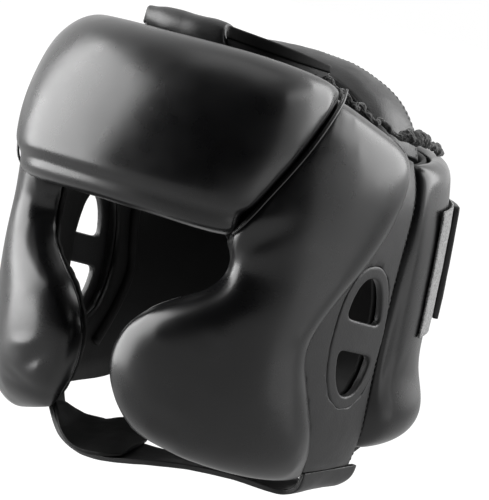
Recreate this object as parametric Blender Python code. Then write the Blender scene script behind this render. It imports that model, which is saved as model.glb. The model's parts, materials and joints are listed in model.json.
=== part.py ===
import math

import bmesh
import bpy
import numpy as np

# Metres, +Z up. The wearer faces -Y and the wearer's left side is +X.
# The origin is the top of the wearer's head, where the headgear sits.
# Places on the headgear are an angle round the head in degrees (0 in front,
# 90 over the left ear) and a height, with an offset outward from the hollow.
# Heights in the tables count from the hollow's apex; every solid is moved up
# by CROWN, because the crown bands hang that far below the apex.

CROWN = 0.0160
HOLLOW = {
    "dome": 0.084,         # crown down to the widest level
    "half_width": 0.081,
    "front": 0.100,
    "back": 0.103,
    "square": 2.3,         # superellipse power of a level section
    "fullness": 0.70,      # power of the dome's profile
}
# depth below the crown, then half width, front and back as shares of the hollow's
JAW_LEVELS = [
    (0.084, 1.000, 1.000, 1.000),
    (0.125, 1.000, 1.000, 1.000),
    (0.160, 0.985, 0.985, 1.000),
    (0.200, 0.955, 0.955, 1.000),
    (0.250, 0.900, 0.900, 0.980),
]
GAP = 0.0004               # clearance between neighbouring pieces
BACKING = 0.0032           # where the pads begin, just off the lining
SEAM_CLEAR = 0.35          # degrees left at a seam between side pieces

LINING = {
    "thick": 0.0025, "turns": 36, "below_edge": 0.0485, "jaw_start": -0.156,
    "face_inside": -0.030, "face_outside": 0.045, "face_bottom": -0.235,
    "face_in_angle": 0.8, "face_in_height": 0.0005, "brow_up": 0.0012, "face_top": -0.089,
}
LINING_LEVELS = [-0.030, -0.046, -0.064, -0.084, -0.120, -0.156, -0.180, -0.2045]
# angle, height of the upper edge all round
UPPER_EDGE = [(0, -0.019), (30, -0.020), (57, -0.025), (75, -0.036), (91, -0.0445), (112, -0.0502)]
# angle, height of the lower edge all round
JAW_EDGE = [
    (0, -0.185), (14, -0.1885), (27, -0.1965), (37, -0.2015), (50, -0.2045), (100, -0.2045), (125, -0.196),
]

FOREHEAD = {
    "thick": 0.0345, "columns": 20, "rows": 11,
    "top_roll": 0.24, "top_rim": 0.42, "brow_roll": 0.20, "brow_rim": 0.30, "side_roll": 0.50,
}
SEAM = {"thick": 0.0200, "rows": 4.0, "gap": 0.30, "blend": 0.06}      # groove depth, cheek rows it spans
# angle, height of the top edge, height of the brow
FOREHEAD_EDGES = [
    (0, -0.0180, -0.0845),
    (15, -0.0180, -0.0850),
    (30, -0.0190, -0.0880),
    (45, -0.0210, -0.0900),
    (60, -0.0240, -0.0900),
]

CHEEK = {
    "thick": 0.0250, "columns": 13, "rows": 17, "eye_roll": 0.35, "rear_roll": 0.30, "rear_rim": 0.25,
    "top_roll": 0.12, "top_rim": 0.45, "jaw_roll": 0.11, "jaw_rim": 0.42, "sag": 0.0045, "sag_share": 0.2,
}
# eye-side angle and height, rear-side angle and height, thickness share
CHEEK_ROWS = [
    (57.4, -0.0240, 91.0, -0.0440, 0.88),
    (49.4, -0.0370, 89.5, -0.0540, 0.92),
    (41.9, -0.0535, 86.0, -0.0660, 0.92),
    (34.9, -0.0715, 80.5, -0.0800, 0.90),
    (29.6, -0.0895, 73.0, -0.0960, 0.87),
    (32.4, -0.0990, 66.5, -0.1080, 0.86),
    (31.5, -0.1095, 61.0, -0.1190, 0.87),
    (26.7, -0.1180, 58.0, -0.1290, 0.88),
    (17.5, -0.1260, 57.0, -0.1390, 0.89),
    (11.5, -0.1345, 58.0, -0.1480, 0.90),
    (7.5, -0.1460, 60.5, -0.1580, 0.90),
    (6.0, -0.1590, 63.5, -0.1690, 0.90),
    (8.5, -0.1760, 67.0, -0.1830, 0.88),
    (14.5, -0.1925, 71.0, -0.2085, 0.86),
]
EYE_RIM = 0.0060           # padding left at the eye and mouth edge
RIGHT_HANG = {"drop": 0.0042, "from": -0.150, "to": -0.198}      # the right cheek hangs lower at the jaw

EAR_PANEL = {"thick": 0.0075, "columns": 8, "rows": 12, "end_roll": 0.06, "end_rim": 0.5,
             "rear_roll": 0.15, "rear_rim": 0.6, "top_up": 0.0003, "rear_up": 0.001, "corner": 8}
# height, angle of the rear seam
REAR_SEAM = [
    (-0.044, 108.5), (-0.061, 104.5), (-0.084, 101.0), (-0.114, 99.5),
    (-0.137, 98.5), (-0.165, 100.0), (-0.205, 103.0),
]
PANEL_BOTTOM = -0.2050

EAR = {
    "y": -0.0125, "z": -0.1340, "half_y": 0.0220, "half_z": 0.0375, "rim": 0.0065, "square": 2.25,
    "bridge": 0.0080, "slope": -0.19, "inner": 0.0070, "outer": 0.0108, "bevel": 0.0012,
    "points": 22, "hole_points": 16, "hole_corner": 7, "cut_from": 0.060, "cut_to": 0.110,
}

REAR = {        # the bed is pressed in under the closure
    "thick": 0.0150, "columns": 11, "rows": 11, "end": 179.75, "top": -0.0500, "bottom": -0.1960,
    "seam_roll": 0.22, "seam_rim": 0.35, "end_roll": 0.06, "end_rim": 0.6,
    "top_roll": 0.12, "top_rim": 0.4, "bottom_roll": 0.14, "bottom_rim": 0.3,
    "lift": 0.0007, "bed": 0.0045, "bed_top": -0.0620, "bed_bottom": -0.1560,
    "bed_edge": 0.0100, "bed_front": 0.10,
}
REAR_FACE = BACKING + REAR["lift"] + REAR["thick"] - REAR["bed"] + 2 * GAP      # just off the pressed bed
FLAP = {"thick": 0.0030, "from": -148.0, "to": 140.0, "top": -0.0740, "bottom": -0.1330}
PATCH = {"thick": 0.0012, "from": 118.0, "to": 168.0, "top": -0.0720, "bottom": -0.1370}

BAND_LONG = {"thick": 0.0035, "segments": 18, "columns": 4, "arch": 0.0025}
# place from front to rear, height, half width, shift toward the left side, bow of the middle
LONG_ROWS = [
    (-0.0680, -0.0135, 0.0230, -0.0020, 0.0065), (-0.0755, -0.0050, 0.0240, -0.0050, 0.0060),
    (-0.0760, 0.0030, 0.0240, -0.0080, 0.0050), (-0.0690, 0.0058, 0.0240, -0.0095, 0.0030),
    (-0.0560, 0.0005, 0.0235, -0.0080, 0.0010), (-0.0380, -0.0090, 0.0220, -0.0040, 0.0),
    (-0.0100, -0.0150, 0.0205, 0.0, 0.0), (0.0220, -0.0170, 0.0200, 0.0, 0.0),
    (0.0500, -0.0205, 0.0200, 0.0, 0.0), (0.0750, -0.0290, 0.0205, 0.0, -0.0010),
    (0.0905, -0.0410, 0.0210, 0.0, -0.0020), (0.0965, -0.0492, 0.0210, 0.0, -0.0024),
]
BAND_CROSS = {
    "thick": 0.0060, "segments": 20, "columns": 4, "front": 0.0040, "rear": 0.0410, "arch": 0.0020,
    "roll": 0.25, "rim": 0.4, "end_up": 0.0014,
}
# place from the middle to the side, height
CROSS_ROWS = [
    (0.0, -0.0100), (0.0200, -0.0108), (0.0375, -0.0142), (0.0510, -0.0198),
    (0.0610, -0.0270), (0.0675, -0.0350), (0.0715, -0.0425),
]

PIPING = {"radius": 0.0010, "sides": 5, "points": 13, "from": 0.05, "to": 0.96, "out": 2.3}
LACE = {"sides": 5, "radius": 0.0021, "flat": 0.62, "highest": -0.0050, "left": 25.2, "right": 35.5}
# angle, height above the edge, offset, thickness share
LACE_ROWS = [
    (19.5, 0.0070, 0.0020, 0.9), (21.0, 0.0120, 0.0050, 2.1), (23.0, 0.0090, 0.0075, 1.5),
    (25.0, 0.0130, 0.0070, 2.2), (27.0, 0.0074, 0.0070, 1.2), (31.0, 0.0038, 0.0070, 0.8),
    (38.0, 0.0034, 0.0075, 0.8), (45.0, 0.0036, 0.0080, 0.9), (49.0, 0.0090, 0.0070, 1.2),
    (52.0, 0.0042, 0.0075, 1.3), (55.0, 0.0110, 0.0075, 1.4), (58.5, 0.0044, 0.0080, 1.3),
    (62.0, 0.0115, 0.0060, 1.4), (66.0, 0.0042, 0.0090, 1.2), (70.0, 0.0110, 0.0070, 1.5),
    (75.0, 0.0042, 0.0100, 1.2), (80.0, 0.0090, 0.0090, 1.1), (85.0, 0.0060, 0.0120, 1.2),
    (91.0, 0.0090, 0.0130, 1.6), (94.0, 0.0100, 0.0150, 2.9), (97.0, 0.0090, 0.0160, 2.3),
    (100.0, 0.0105, 0.0165, 3.0), (103.0, 0.0090, 0.0170, 2.2), (106.0, 0.0085, 0.0175, 1.5),
    (110.0, 0.0080, 0.0175, 2.0), (114.0, 0.0075, 0.0170, 1.7),
]

STRAP = {"thick": 0.0028, "columns": 3, "segments": 26}
# front edge and rear edge of the strap, from the left root round to the right one
STRAP_ROWS = [
    (0.0790, -0.0235, -0.2062, 0.0800, 0.0240, -0.2062),
    (0.0780, -0.0245, -0.2140, 0.0790, 0.0220, -0.2125),
    (0.0690, -0.0260, -0.2180, 0.0735, 0.0130, -0.2170),
    (0.0560, -0.0400, -0.2140, 0.0600, -0.0030, -0.2160),
    (0.0410, -0.0590, -0.2110, 0.0440, -0.0200, -0.2130),
    (0.0250, -0.0760, -0.2110, 0.0245, -0.0500, -0.2105),
    (0.0060, -0.0830, -0.2150, 0.0030, -0.0590, -0.2092),
    (-0.0140, -0.0835, -0.2165, -0.0164, -0.0590, -0.2105),
    (-0.0280, -0.0825, -0.2115, -0.0316, -0.0590, -0.2116),
    (-0.0370, -0.0800, -0.2020, -0.0410, -0.0620, -0.2060),
    (-0.0450, -0.0755, -0.1940, -0.0475, -0.0590, -0.1990),
    (-0.0570, -0.0630, -0.1890, -0.0590, -0.0470, -0.1930),
    (-0.0668, -0.0480, -0.1890, -0.0700, -0.0320, -0.1910),
]
CUP = {"thick": 0.0042, "off": 0.0009, "from": 0.480, "to": 0.775, "segments": 14, "columns": 4}
# share along the cup, overhang past the strap's front edge, past its rear edge
CUP_ROWS = [
    (0.0, -0.0020, 0.0020), (0.10, 0.0020, 0.0100), (0.22, 0.0030, 0.0150), (0.36, 0.0035, 0.0160),
    (0.50, 0.0035, 0.0110), (0.64, 0.0030, 0.0160), (0.80, 0.0025, 0.0120), (1.0, 0.0000, -0.0020),
]


def clear_scene():
    for thing in list(bpy.data.objects):
        bpy.data.objects.remove(thing, do_unlink=True)


def level(height):
    """Half width, front and back of the hollow at a height."""
    depth = np.clip(-np.asarray(height, float), 1e-5, 0.249)
    dome = HOLLOW["dome"]
    rise = np.clip(1.0 - depth / dome, 0.0, 1.0)
    share = np.where(depth < dome, (1.0 - rise ** 2) ** (HOLLOW["fullness"] / 2), 1.0)
    rows = np.array(JAW_LEVELS)
    sizes = []
    for column, key in ((1, "half_width"), (2, "front"), (3, "back")):
        sizes.append(HOLLOW[key] * share * np.interp(depth, rows[:, 0], rows[:, column]))
    return sizes


def wall(angle, height):
    """Point on the inside of the headgear."""
    angle, height = np.broadcast_arrays(np.asarray(angle, float), np.asarray(height, float))
    half, front, back = level(height)
    turn = np.radians(angle)
    east, north = np.sin(turn), -np.cos(turn)
    depth = np.where(north < 0, front, back)
    power = HOLLOW["square"]
    reach = (np.abs(east / half) ** power + np.abs(north / depth) ** power) ** (-1 / power)
    return np.stack([reach * east, reach * north, height], axis=-1)


def skin(angle, height, offset):
    """Point at an offset outward from the inside wall."""
    angle = np.asarray(angle, float)
    height = np.asarray(height, float)
    along = wall(angle + 0.5, height) - wall(angle - 0.5, height)
    upward = wall(angle, height + 0.001) - wall(angle, height - 0.001)
    normal = np.cross(along, upward)
    normal /= np.linalg.norm(normal, axis=-1, keepdims=True)
    return wall(angle, height) + normal * np.asarray(offset, float)[..., None]


def spaced(count, squeeze=0.7):
    """Shares from 0 to 1 that crowd toward both ends."""
    share = np.linspace(0, 1, count + 1)
    return share - squeeze * np.sin(2 * np.pi * share) / (2 * np.pi)


def swell(distance, roll, rim):
    """Padding profile: the rim's share at an edge, full past the roll."""
    near = np.clip(np.asarray(distance, float) / roll, 0, 1)
    return rim + (1 - rim) * np.sqrt(1 - (1 - near) ** 2)


def smooth_rows(rows, shares):
    """Rows of a table at even shares, with a smooth curve through them."""
    rows = np.array(rows, float)
    place = np.asarray(shares) * (len(rows) - 1)
    first = np.clip(place.astype(int), 0, len(rows) - 2)
    step = (place - first)[:, None]
    before = rows[np.clip(first - 1, 0, None)]
    start, end = rows[first], rows[first + 1]
    after = rows[np.clip(first + 2, None, len(rows) - 1)]
    return 0.5 * (
        2 * start + (end - before) * step
        + (2 * before - 5 * start + 4 * end - after) * step ** 2
        + (3 * start - before - 3 * end + after) * step ** 3
    )


def add_solid(name, points, faces):
    mesh = bpy.data.meshes.new(name)
    mesh.from_pydata([(float(x), float(y), float(z) + CROWN) for x, y, z in points], [], faces)
    work = bmesh.new()
    work.from_mesh(mesh)
    bmesh.ops.triangulate(work, faces=work.faces[:])
    bmesh.ops.recalc_face_normals(work, faces=work.faces[:])
    work.to_mesh(mesh)
    work.free()
    piece = bpy.data.objects.new(name, mesh)
    bpy.context.scene.collection.objects.link(piece)
    return piece


def layered(name, outer, inner, ring=False):
    """Closed solid between two grids of points."""
    rows, columns = outer.shape[:2]
    count = rows * columns
    points = np.concatenate([outer.reshape(-1, 3), inner.reshape(-1, 3)])
    faces = []
    for i in range(rows if ring else rows - 1):
        k = (i + 1) % rows
        for j in range(columns - 1):
            a, b, c, d = i * columns + j, k * columns + j, k * columns + j + 1, i * columns + j + 1
            faces.append((a, b, c, d))
            faces.append((count + d, count + c, count + b, count + a))
    edge = [(i * columns, ((i + 1) % rows) * columns) for i in range(rows if ring else rows - 1)]
    edge += [(((i + 1) % rows) * columns + columns - 1, i * columns + columns - 1)
             for i in range(rows if ring else rows - 1)]
    if not ring:
        last = (rows - 1) * columns
        edge += [(j + 1, j) for j in range(columns - 1)]
        edge += [(last + j, last + j + 1) for j in range(columns - 1)]
    for a, b in edge:
        faces.append((b, a, count + a, count + b))
    return add_solid(name, points, faces)


def tube(name, path, radius, sides, flat=1.0):
    """Round or flattened tube along a path, with a radius at each point."""
    path = np.array(path, float)
    count = len(path)
    radius = np.broadcast_to(radius, (count,))
    ahead = np.gradient(path, axis=0)
    ahead /= np.linalg.norm(ahead, axis=1, keepdims=True)
    outward = path - np.array([0, 0, path[:, 2].mean() - 0.08])
    side = np.cross(ahead, outward)
    side /= np.linalg.norm(side, axis=1, keepdims=True)
    rise = np.cross(side, ahead)
    points, faces = [], []
    for i in range(count):
        for s in range(sides):
            turn = 2 * math.pi * (s + 0.5) / sides
            points.append(path[i] + radius[i] * (side[i] * math.cos(turn) + rise[i] * flat * math.sin(turn)))
    for i in range(count - 1):
        for s in range(sides):
            t = (s + 1) % sides
            faces.append((i * sides + s, (i + 1) * sides + s, (i + 1) * sides + t, i * sides + t))
    faces.append(tuple(range(sides)))
    faces.append(tuple(range((count - 1) * sides, count * sides))[::-1])
    return add_solid(name, points, faces)


def cut(piece, cutter):
    cutter.hide_render = True
    cutter.display_type = "WIRE"
    step = piece.modifiers.new("cut", "BOOLEAN")
    step.operation = "DIFFERENCE"
    step.solver = "EXACT"
    step.object = cutter
    bpy.context.view_layer.update()
    graph = bpy.context.evaluated_depsgraph_get()
    shaped = bpy.data.meshes.new_from_object(piece.evaluated_get(graph))
    piece.modifiers.clear()
    piece.data = shaped
    bpy.data.objects.remove(cutter, do_unlink=True)
    work = bmesh.new()
    work.from_mesh(shaped)
    bmesh.ops.remove_doubles(work, verts=work.verts[:], dist=2e-6)
    bmesh.ops.triangulate(work, faces=work.faces[:])
    work.to_mesh(shaped)
    work.free()


def mirrored(name, piece):
    twin = piece.copy()
    twin.data = piece.data.copy()
    twin.name = name
    for vertex in twin.data.vertices:
        vertex.co.x = -vertex.co.x
    twin.data.flip_normals()
    bpy.context.scene.collection.objects.link(twin)
    return twin


def hang(piece):
    """Lowers the jaw end of a pad, as it hangs when worn."""
    first, last = RIGHT_HANG["from"] + CROWN, RIGHT_HANG["to"] + CROWN
    for vertex in piece.data.vertices:
        share = min(max((vertex.co.z - first) / (last - first), 0.0), 1.0)
        vertex.co.z -= RIGHT_HANG["drop"] * share


def seam_angle(height):
    """Angle of the seam between forehead and cheek at a height."""
    rows = smooth_rows(CHEEK_ROWS, np.linspace(0, 5 / (len(CHEEK_ROWS) - 1), 61))
    keep = rows[:, 1] >= CHEEK_ROWS[4][1]
    return np.interp(-np.asarray(height), -rows[keep, 1], rows[keep, 0])


def forehead_edges(angle):
    rows = np.array(FOREHEAD_EDGES)
    return (np.interp(np.abs(angle), rows[:, 0], rows[:, 1]),
            np.interp(np.abs(angle), rows[:, 0], rows[:, 2]))


def padding(name, angle, height, thick, start=BACKING):
    """Pad of a given thickness over its place on the head."""
    return layered(name, skin(angle, height, start + thick), skin(angle, height, np.full(angle.shape, start)))


def forehead_rolls(down):
    return (swell(down, FOREHEAD["top_roll"], FOREHEAD["top_rim"])
            * swell(1 - down, FOREHEAD["brow_roll"], FOREHEAD["brow_rim"]))


def forehead_sides(down):
    """Angle and height of the forehead's side edge at shares down the pad."""
    angle = np.full(np.shape(down), 45.0)
    for _ in range(12):
        top, brow = forehead_edges(angle)
        height = top + (brow - top) * down
        angle = seam_angle(height) - SEAM["gap"]
    return angle, height


def build_forehead():
    across = 2 * spaced(FOREHEAD["columns"], 0.6)[:, None] - 1
    down = spaced(FOREHEAD["rows"], 0.75)[None, :]
    angle = across * forehead_sides(down)[0]
    top, brow = forehead_edges(angle)
    height = top + (brow - top) * down
    side = swell(1 - np.abs(across), FOREHEAD["side_roll"], 0.0)
    thick = SEAM["thick"] + (FOREHEAD["thick"] - SEAM["thick"]) * side
    thick = thick * forehead_rolls(down)
    return padding("forehead_pad", angle, height, thick)


def cheek_rows(count):
    return smooth_rows(CHEEK_ROWS, spaced(count, 0.3))


def build_cheek():
    rows = cheek_rows(CHEEK["rows"])
    down = spaced(CHEEK["rows"], 0.3)[None, :]
    across = spaced(CHEEK["columns"], 0.75)[:, None]
    angle = rows[:, 0] + (rows[:, 2] - rows[:, 0]) * across
    height = rows[:, 1] + (rows[:, 3] - rows[:, 1]) * across
    near_jaw = np.clip((down - 1) / CHEEK["sag_share"] + 1, 0, 1)
    height = height - CHEEK["sag"] * 4 * across * (1 - across) * near_jaw
    full = CHEEK["thick"] * rows[:, 4]
    last = SEAM["rows"] / (len(CHEEK_ROWS) - 1)
    blend = np.clip((down - last) / SEAM["blend"] + 1, 0, 1)
    edge = SEAM["thick"] + (EYE_RIM - SEAM["thick"]) * blend
    thick = edge + (full - edge) * swell(across, CHEEK["eye_roll"], 0.0)
    thick = thick * swell(1 - across, CHEEK["rear_roll"], CHEEK["rear_rim"])
    thick = thick * swell(down, CHEEK["top_roll"], CHEEK["top_rim"])
    thick = thick * swell(1 - down, CHEEK["jaw_roll"], CHEEK["jaw_rim"])
    return padding("cheek_pad_left", angle, height, thick)


def build_panel():
    down = np.linspace(0, 1, EAR_PANEL["rows"] + 1)
    rows = smooth_rows(CHEEK_ROWS, down)
    front_angle, front_height = rows[:, 2] + SEAM_CLEAR, rows[:, 3].copy()
    front_height += (PANEL_BOTTOM - front_height[-1]) * down ** EAR_PANEL["corner"]
    rear_top = upper_edge(REAR_SEAM[0][1]) + EAR_PANEL["top_up"]
    rear_height = rear_top + (PANEL_BOTTOM + EAR_PANEL["rear_up"] - rear_top) * down
    seam = np.array(REAR_SEAM)
    rear_angle = np.interp(-rear_height, -seam[:, 0], seam[:, 1]) - SEAM_CLEAR
    across = spaced(EAR_PANEL["columns"], 0.5)[:, None]
    angle = front_angle + (rear_angle - front_angle) * across
    height = front_height + (rear_height - front_height) * across
    ends = np.minimum(down, 1 - down)[None, :]
    thick = EAR_PANEL["thick"] * swell(ends, EAR_PANEL["end_roll"], EAR_PANEL["end_rim"])
    thick = thick * swell(1 - across, EAR_PANEL["rear_roll"], EAR_PANEL["rear_rim"])
    return padding("ear_panel_left", angle, height, thick)


def prism(count):
    """Faces of a closed prism between two loops of points."""
    faces = [(k, (k + 1) % count, count + (k + 1) % count, count + k) for k in range(count)]
    faces.append(tuple(range(count))[::-1])
    faces.append(tuple(range(count, 2 * count)))
    return faces


def oval(turn, half_y, half_z):
    """Reach of the ear guard's oval in a direction."""
    power = EAR["square"]
    return (abs(math.cos(turn) / half_y) ** power + abs(math.sin(turn) / half_z) ** power) ** (-1 / power)


def ear_loop(side):
    """Prism of the ear guard's oval across one ear, from the hollow outward."""
    points, count = [], EAR["points"]
    for x in (EAR["cut_from"] * side, EAR["cut_to"] * side):
        for k in range(count):
            turn = 2 * math.pi * k / count
            size = oval(turn, EAR["half_y"], EAR["half_z"])
            points.append((x, EAR["y"] + size * math.cos(turn), EAR["z"] + size * math.sin(turn)))
    return points, prism(count)


def ear_hole(upper):
    """Prism of one ear hole, bounded by the rim and by the bridge."""
    count, corner = EAR["hole_points"], EAR["hole_corner"]
    half_y, half_z = EAR["half_y"] - EAR["rim"], EAR["half_z"] - EAR["rim"]
    sign = 1 if upper else -1
    centre_z = sign * (EAR["bridge"] + half_z) / 2
    outline = []
    for k in range(count):
        turn = 2 * math.pi * k / count
        c, s = math.cos(turn), math.sin(turn)
        reach_oval = 0.0
        for trial in np.linspace(0.001, 0.05, 246):
            y, z = trial * c, centre_z + trial * s
            if abs(y / half_y) ** EAR["square"] + abs(z / half_z) ** EAR["square"] > 1:
                break
            reach_oval = trial
        toward = -sign * (s - EAR["slope"] * c)
        reach_line = 1.0
        if toward > 1e-6:
            reach_line = (abs(centre_z) - EAR["bridge"]) / toward
        size = (reach_oval ** -corner + reach_line ** -corner) ** (-1 / corner)
        outline.append((EAR["y"] + size * c, EAR["z"] + centre_z + size * s))
    points = [(x, y, z) for x in (EAR["cut_from"], EAR["cut_to"]) for y, z in outline]
    return points, prism(count)


def side_angle(y, z):
    """Angle on the left side whose wall point has this y at this height."""
    trial = np.linspace(40, 130, 181)
    found = wall(trial, np.full(trial.shape, z))[:, 1]
    return float(np.interp(y, found, trial))


def build_guard():
    count, rings = EAR["points"], (0.0, 0.5, 1.0)
    outer, inner = [], []
    half_y, half_z = EAR["half_y"] - GAP, EAR["half_z"] - GAP
    for ring in rings[1:]:
        for k in range(count):
            turn = 2 * math.pi * k / count
            size = ring * oval(turn, half_y, half_z)
            y, z = EAR["y"] + size * math.cos(turn), EAR["z"] + size * math.sin(turn)
            base = wall(side_angle(y, z), z)
            edge = EAR["bevel"] if ring == 1.0 else 0.0
            outer.append((base[0] + EAR["outer"] - edge, y, z))
            inner.append((base[0] + EAR["inner"], y, z))
    base = wall(side_angle(EAR["y"], EAR["z"]), EAR["z"])
    points = outer + inner
    points.append((base[0] + EAR["outer"], EAR["y"], EAR["z"]))
    points.append((base[0] + EAR["inner"], EAR["y"], EAR["z"]))
    total = len(outer)
    faces = []
    for layer, middle in ((0, 2 * total), (total, 2 * total + 1)):
        for k in range(count):
            n = (k + 1) % count
            faces.append((layer + k, layer + n, middle))
            for ring in range(len(rings) - 2):
                a, b = layer + ring * count, layer + (ring + 1) * count
                faces.append((a + k, b + k, b + n, a + n))
    last = (len(rings) - 2) * count
    for k in range(count):
        n = (k + 1) % count
        faces.append((last + k, last + n, total + last + n, total + last + k))
    guard = add_solid("ear_guard_left", points, faces)
    for upper in (True, False):
        cut(guard, add_solid("cutter", *ear_hole(upper)))
    return guard


def rear_thick(angle, height, low, high):
    across = (np.abs(angle) - low) / (high - low)
    down = (height - REAR["top"]) / (REAR["bottom"] - REAR["top"])
    inside = np.minimum(REAR["bed_top"] - height, height - REAR["bed_bottom"])
    pressed = np.clip(inside / REAR["bed_edge"] + 1, 0, 1)
    full = REAR["thick"] - REAR["bed"] * pressed * np.clip(across / REAR["bed_front"], 0, 1)
    full = full * swell(across, REAR["seam_roll"], REAR["seam_rim"])
    full = full * swell(1 - across, REAR["end_roll"], REAR["end_rim"])
    full = full * swell(down, REAR["top_roll"], REAR["top_rim"])
    return full * swell(1 - down, REAR["bottom_roll"], REAR["bottom_rim"])


def build_rear():
    down = spaced(REAR["rows"], 0.6)[None, :]
    across = spaced(REAR["columns"], 0.6)[:, None]
    height = REAR["top"] + (REAR["bottom"] - REAR["top"]) * down + 0 * across
    seam = np.array(REAR_SEAM)
    start_angle = np.interp(-height, -seam[:, 0], seam[:, 1]) + SEAM_CLEAR
    angle = start_angle + (REAR["end"] - start_angle) * across
    thick = rear_thick(angle, height, start_angle, REAR["end"])
    return padding("rear_pad_left", angle, height, thick, BACKING + REAR["lift"])


def build_rear_cover(name, sizes, base, columns, rows):
    """Flat piece that lies on the rear pads."""
    first, last = sizes["from"] % 360, sizes["to"] % 360
    across = np.linspace(last, first, columns + 1)[:, None]
    down = np.linspace(sizes["top"], sizes["bottom"], rows + 1)[None, :]
    angle = across + 0 * down
    height = down + 0 * across
    return layered(name, skin(angle, height, np.full(angle.shape, base + sizes["thick"])),
                   skin(angle, height, np.full(angle.shape, base)))


def face_outline():
    """Edge of the face opening from the left jaw over the brow to the right jaw."""
    left = [(row[0] + LINING["face_in_angle"], row[1] - LINING["face_in_height"])
            for row in cheek_rows(26) if row[1] < LINING["face_top"]]
    brow = [(a, float(forehead_edges(a)[1]) + LINING["brow_up"]) for a in np.linspace(27, -27, 9)]
    right = [(-a, z) for a, z in left]
    jaw, bottom = left[-1][0], LINING["face_bottom"]
    return [(jaw, bottom)] + left[::-1] + brow + right + [(-jaw, bottom)]


def build_lining():
    turns = np.arange(LINING["turns"]) * 360 / LINING["turns"]
    heights = np.array(LINING_LEVELS)
    angle = np.where(turns > 180, turns - 360, turns)[:, None] + 0 * heights[None, :]
    height = heights[None, :] + 0 * angle
    edge = upper_edge(angle)
    share = np.clip((height - heights[2]) / (heights[0] - heights[2]), 0, 1)
    height = height + (edge - heights[0]) * share
    low = np.clip((LINING["jaw_start"] - heights[None, :]) / LINING["below_edge"], 0, 1)
    height = height + (jaw_edge(angle) - heights[-1]) * low
    shell = layered("lining", skin(angle, height, np.full(angle.shape, LINING["thick"])),
                    skin(angle, height, np.zeros(angle.shape)), ring=True)
    outline = face_outline()
    reaches = (LINING["face_inside"], LINING["face_outside"])
    points = [skin(a, z, reach) for reach in reaches for a, z in outline]
    cut(shell, add_solid("cutter", points, prism(len(outline))))
    for side in (1, -1):
        cut(shell, add_solid("cutter", *ear_loop(side)))
    return shell


def upper_edge(angle):
    """Height of the upper edge all round."""
    rows = np.array(UPPER_EDGE)
    return np.interp(np.abs(angle), rows[:, 0], rows[:, 1])


def jaw_edge(angle):
    """Height of the lower edge all round."""
    rows = np.array(JAW_EDGE)
    return np.interp(np.abs(angle), rows[:, 0], rows[:, 1])


def ruled(path, thick, spread, arch):
    """Outer and inner grids of a band that follows a path in one plane."""
    ahead = np.gradient(path, axis=0)
    ahead /= np.linalg.norm(ahead, axis=1, keepdims=True)
    normal = np.stack([-ahead[:, 1], ahead[:, 0]], axis=-1)
    inner = path[:, None, :] + 0 * spread[..., None]
    inner = inner - normal[:, None, :] * arch[..., None]
    return inner + normal[:, None, :] * thick[..., None], inner


def build_bands():
    count = BAND_LONG["segments"]
    rows = smooth_rows(LONG_ROWS, np.linspace(0, 1, count + 1))
    across = np.linspace(-1, 1, BAND_LONG["columns"] + 1)[None, :]
    spread = rows[:, 2:3] * across + rows[:, 3:4]
    arch = BAND_LONG["arch"] * across ** 2 * np.sin(np.linspace(0, math.pi, count + 1))[:, None]
    thick = BAND_LONG["thick"] + 0 * spread
    outer, inner = ruled(rows[:, :2], thick, spread, arch)
    for grid in (outer, inner):
        grid[..., 0] += rows[:, 4:5] * across ** 2
    layered("crown_band_long", np.dstack([spread, outer]), np.dstack([spread, inner]))

    count = BAND_CROSS["segments"]
    side = smooth_rows(CROSS_ROWS, np.linspace(0, 1, count // 2 + 1))
    path = np.concatenate([side[:0:-1] * (-1, 1), side])
    across = spaced(BAND_CROSS["columns"], 0.4)[None, :]
    spread = BAND_CROSS["front"] + (BAND_CROSS["rear"] - BAND_CROSS["front"]) * across + 0 * path[:, :1]
    arch = BAND_CROSS["arch"] * (2 * across - 1) ** 2 + 0 * spread
    edges = np.minimum(across, 1 - across)
    thick = BAND_CROSS["thick"] * swell(edges, BAND_CROSS["roll"], BAND_CROSS["rim"]) + 0 * spread
    outer, inner = ruled(path, thick, spread, arch)
    place = np.linspace(-1, 1, count + 1)[:, None]
    reach = np.clip(np.abs(place) * 3 - 2, 0, 1) ** 2
    for grid in (outer, inner):
        down = upper_edge(side_angles(spread)) + BAND_CROSS["end_up"]
        grid[..., 1] += (down - grid[-1:, :, 1].min()) * reach
    layered("crown_band_cross", np.dstack([outer[..., 0], spread, outer[..., 1]]),
            np.dstack([inner[..., 0], spread, inner[..., 1]]))


def side_angles(spread):
    """Angle of the upper edge at each place from front to rear."""
    trial = np.linspace(50, 130, 81)
    edge = wall(trial, upper_edge(trial))[:, 1]
    return np.interp(spread, edge, trial)


def build_lace(name, side, start):
    """Lacing from the front flap round the upper edge to the knot behind."""
    rows = smooth_rows(LACE_ROWS, np.linspace(0, 1, 2 * (len(LACE_ROWS) - 1) + 1))
    first, last = LACE_ROWS[0][0], LACE_ROWS[-1][0]
    angle = start + (rows[:, 0] - first) * (last - start) / (last - first)
    height = np.minimum(upper_edge(angle) + rows[:, 1], LACE["highest"])
    path = skin(side * angle, height, rows[:, 2])
    return tube(name, path, LACE["radius"] * rows[:, 3], LACE["sides"], LACE["flat"])


def build_piping():
    down = np.linspace(PIPING["from"], PIPING["to"], PIPING["points"])
    angle, height = forehead_sides(down)
    offset = BACKING + SEAM["thick"] * forehead_rolls(down) + PIPING["out"] * PIPING["radius"]
    path = skin(angle + SEAM["gap"] / 2, height, offset)
    return tube("seam_piping_left", path, PIPING["radius"], PIPING["sides"])


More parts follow.
